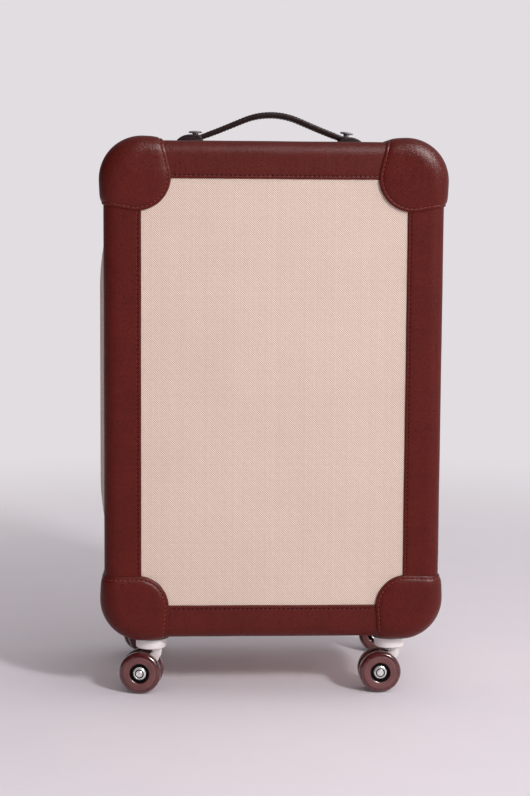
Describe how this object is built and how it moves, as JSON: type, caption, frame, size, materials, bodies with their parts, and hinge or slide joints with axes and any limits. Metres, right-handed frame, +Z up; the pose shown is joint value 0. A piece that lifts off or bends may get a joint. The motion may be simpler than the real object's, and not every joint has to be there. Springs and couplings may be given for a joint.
{
  "type": "carry-on suitcase",
  "caption": "Upright canvas cabin case with leather edging, padded corner guards, strap handle, hinged zip-round halves, telescopic handle and twin-wheel swivel casters.",
  "frame": {"origin": "on the floor under the middle of the case", "axes": "+Z up, front face towards -Y, hinge on the -X side, zip sliders on the +X side"},
  "size_m": [0.3517, 0.238, 0.5978],
  "materials": {
    "shell": "moulded, matt",
    "canvas": "fine twill canvas",
    "leather": "grained, semi-matt",
    "handle_leather": "smooth, semi-matt",
    "lining": "woven polyester",
    "webbing": "flat webbing",
    "zip": "woven tape, moulded teeth",
    "steel": "satin",
    "caster_metal": "satin silver",
    "tube_aluminium": "anodised",
    "black_plastic": "fine texture",
    "button_metal": "polished",
    "wheel": "smooth polyurethane"
  },
  "bodies": {
    "main": {"main_shell": "shell", "main_canvas": "canvas", "main_edge_straps": "leather", "main_corner_guards": "leather", "main_lining": "lining", "main_zip": "zip", "rail_cover": "lining", "packing_straps": "webbing", "strap_ring": "steel", "hinge_leaf_main": "steel", "hinge_pin": "steel", "hinge_cover": "canvas", "spine_tape": "canvas", "handle_strap": "handle_leather", "handle_end_caps": "handle_leather", "handle_studs": "steel", "handle_nuts": "steel", "trolley_bezel": "black_plastic", "trolley_rails": "tube_aluminium", "trolley_foot": "black_plastic", "main_caster_screws": "steel", "caster_base_rear_left": "black_plastic", "caster_base_rear_right": "black_plastic"},
    "lid": {"lid_shell": "shell", "lid_canvas": "canvas", "lid_edge_straps": "leather", "lid_corner_guards": "leather", "lid_lining": "lining", "lid_zip": "zip", "hinge_leaf_lid": "steel", "lid_caster_screws": "steel", "caster_base_front_left": "black_plastic", "caster_base_front_right": "black_plastic"},
    "trolley_mid": {"trolley_mid_tubes": "tube_aluminium"},
    "trolley_inner": {"trolley_inner_tubes": "tube_aluminium", "grip_body": "black_plastic", "grip_cover": "black_plastic", "button_spring": "steel"},
    "grip_button": {"grip_button": "button_metal"},
    "zip_slider_upper": {"zip_slider_upper": "steel"},
    "zip_slider_lower": {"zip_slider_lower": "steel"},
    "zip_pull_upper": {"zip_pull_upper": "steel"},
    "zip_pull_lower": {"zip_pull_lower": "steel"},
    "fork_front_left": {"fork_front_left": "caster_metal", "axle_front_left": "steel"},
    "wheel_front_left_a": {"wheel_front_left_a": "wheel"},
    "wheel_front_left_b": {"wheel_front_left_b": "wheel"},
    "fork_front_right": {"fork_front_right": "caster_metal", "axle_front_right": "steel"},
    "wheel_front_right_a": {"wheel_front_right_a": "wheel"},
    "wheel_front_right_b": {"wheel_front_right_b": "wheel"},
    "fork_rear_left": {"fork_rear_left": "caster_metal", "axle_rear_left": "steel"},
    "wheel_rear_left_a": {"wheel_rear_left_a": "wheel"},
    "wheel_rear_left_b": {"wheel_rear_left_b": "wheel"},
    "fork_rear_right": {"fork_rear_right": "caster_metal", "axle_rear_right": "steel"},
    "wheel_rear_right_a": {"wheel_rear_right_a": "wheel"},
    "wheel_rear_right_b": {"wheel_rear_right_b": "wheel"}
  },
  "joints": [
    {"name": "lid_hinge", "type": "hinge", "parent": "main", "child": "lid", "pos_m": [-0.1746, 0, 0.3125], "axis": [0, 0, -1], "range_deg": [0, 180], "deforming": ["hinge_cover", "spine_tape"]},
    {"name": "trolley_mid_slide", "type": "slide", "parent": "main", "child": "trolley_mid", "axis": [0, 0, 1], "range_m": [0, 0.23]},
    {"name": "trolley_inner_slide", "type": "slide", "parent": "trolley_mid", "child": "trolley_inner", "axis": [0, 0, 1], "range_m": [0, 0.23]},
    {"name": "button_press", "type": "slide", "parent": "trolley_inner", "child": "grip_button", "axis": [0, 0, -1], "range_m": [0, 0.0022], "stiffness_N_per_m": 400, "springref_m": -0.003, "deforming": ["button_spring"]},
    {"name": "slider_upper_slide", "type": "slide", "parent": "main", "child": "zip_slider_upper", "axis": [0, 0, 1], "range_m": [0, 0.165]},
    {"name": "slider_lower_slide", "type": "slide", "parent": "main", "child": "zip_slider_lower", "axis": [0, 0, -1], "range_m": [0, 0.185]},
    {"name": "pull_upper_swing", "type": "hinge", "parent": "zip_slider_upper", "child": "zip_pull_upper", "pos_m": [0.169, 0, 0.3445], "axis": [0, -1, 0], "range_deg": [0, 170]},
    {"name": "pull_lower_swing", "type": "hinge", "parent": "zip_slider_lower", "child": "zip_pull_lower", "pos_m": [0.169, 0, 0.2995], "axis": [0, -1, 0], "range_deg": [0, 170]},
    {"name": "swivel_front_left", "type": "hinge", "parent": "lid", "child": "fork_front_left", "pos_m": [-0.123, -0.084, 0.0525], "axis": [0, 0, 1], "continuous": true},
    {"name": "spin_front_left_a", "type": "hinge", "parent": "fork_front_left", "child": "wheel_front_left_a", "pos_m": [-0.13421, -0.09083, 0.0215], "axis": [0.1564, 0.9877, 0], "continuous": true},
    {"name": "spin_front_left_b", "type": "hinge", "parent": "fork_front_left", "child": "wheel_front_left_b", "pos_m": [-0.13155, -0.07404, 0.0215], "axis": [0.1564, 0.9877, 0], "continuous": true},
    {"name": "swivel_front_right", "type": "hinge", "parent": "lid", "child": "fork_front_right", "pos_m": [0.123, -0.084, 0.0525], "axis": [0, 0, 1], "continuous": true},
    {"name": "spin_front_right_a", "type": "hinge", "parent": "fork_front_right", "child": "wheel_front_right_a", "pos_m": [0.113, -0.0925, 0.0215], "axis": [0, 1, 0], "continuous": true},
    {"name": "spin_front_right_b", "type": "hinge", "parent": "fork_front_right", "child": "wheel_front_right_b", "pos_m": [0.113, -0.0755, 0.0215], "axis": [0, 1, 0], "continuous": true},
    {"name": "swivel_rear_left", "type": "hinge", "parent": "main", "child": "fork_rear_left", "pos_m": [-0.123, 0.084, 0.0525], "axis": [0, 0, 1], "continuous": true},
    {"name": "spin_rear_left_a", "type": "hinge", "parent": "fork_rear_left", "child": "wheel_rear_left_a", "pos_m": [-0.12949, 0.07259, 0.0215], "axis": [-0.342, 0.9397, 0], "continuous": true},
    {"name": "spin_rear_left_b", "type": "hinge", "parent": "fork_rear_left", "child": "wheel_rear_left_b", "pos_m": [-0.1353, 0.08857, 0.0215], "axis": [-0.342, 0.9397, 0], "continuous": true},
    {"name": "swivel_rear_right", "type": "hinge", "parent": "main", "child": "fork_rear_right", "pos_m": [0.123, 0.084, 0.0525], "axis": [0, 0, 1], "continuous": true},
    {"name": "spin_rear_right_a", "type": "hinge", "parent": "fork_rear_right", "child": "wheel_rear_right_a", "pos_m": [0.1353, 0.08857, 0.0215], "axis": [-0.342, -0.9397, 0], "continuous": true},
    {"name": "spin_rear_right_b", "type": "hinge", "parent": "fork_rear_right", "child": "wheel_rear_right_b", "pos_m": [0.12949, 0.07259, 0.0215], "axis": [-0.342, -0.9397, 0], "continuous": true}
  ]
}
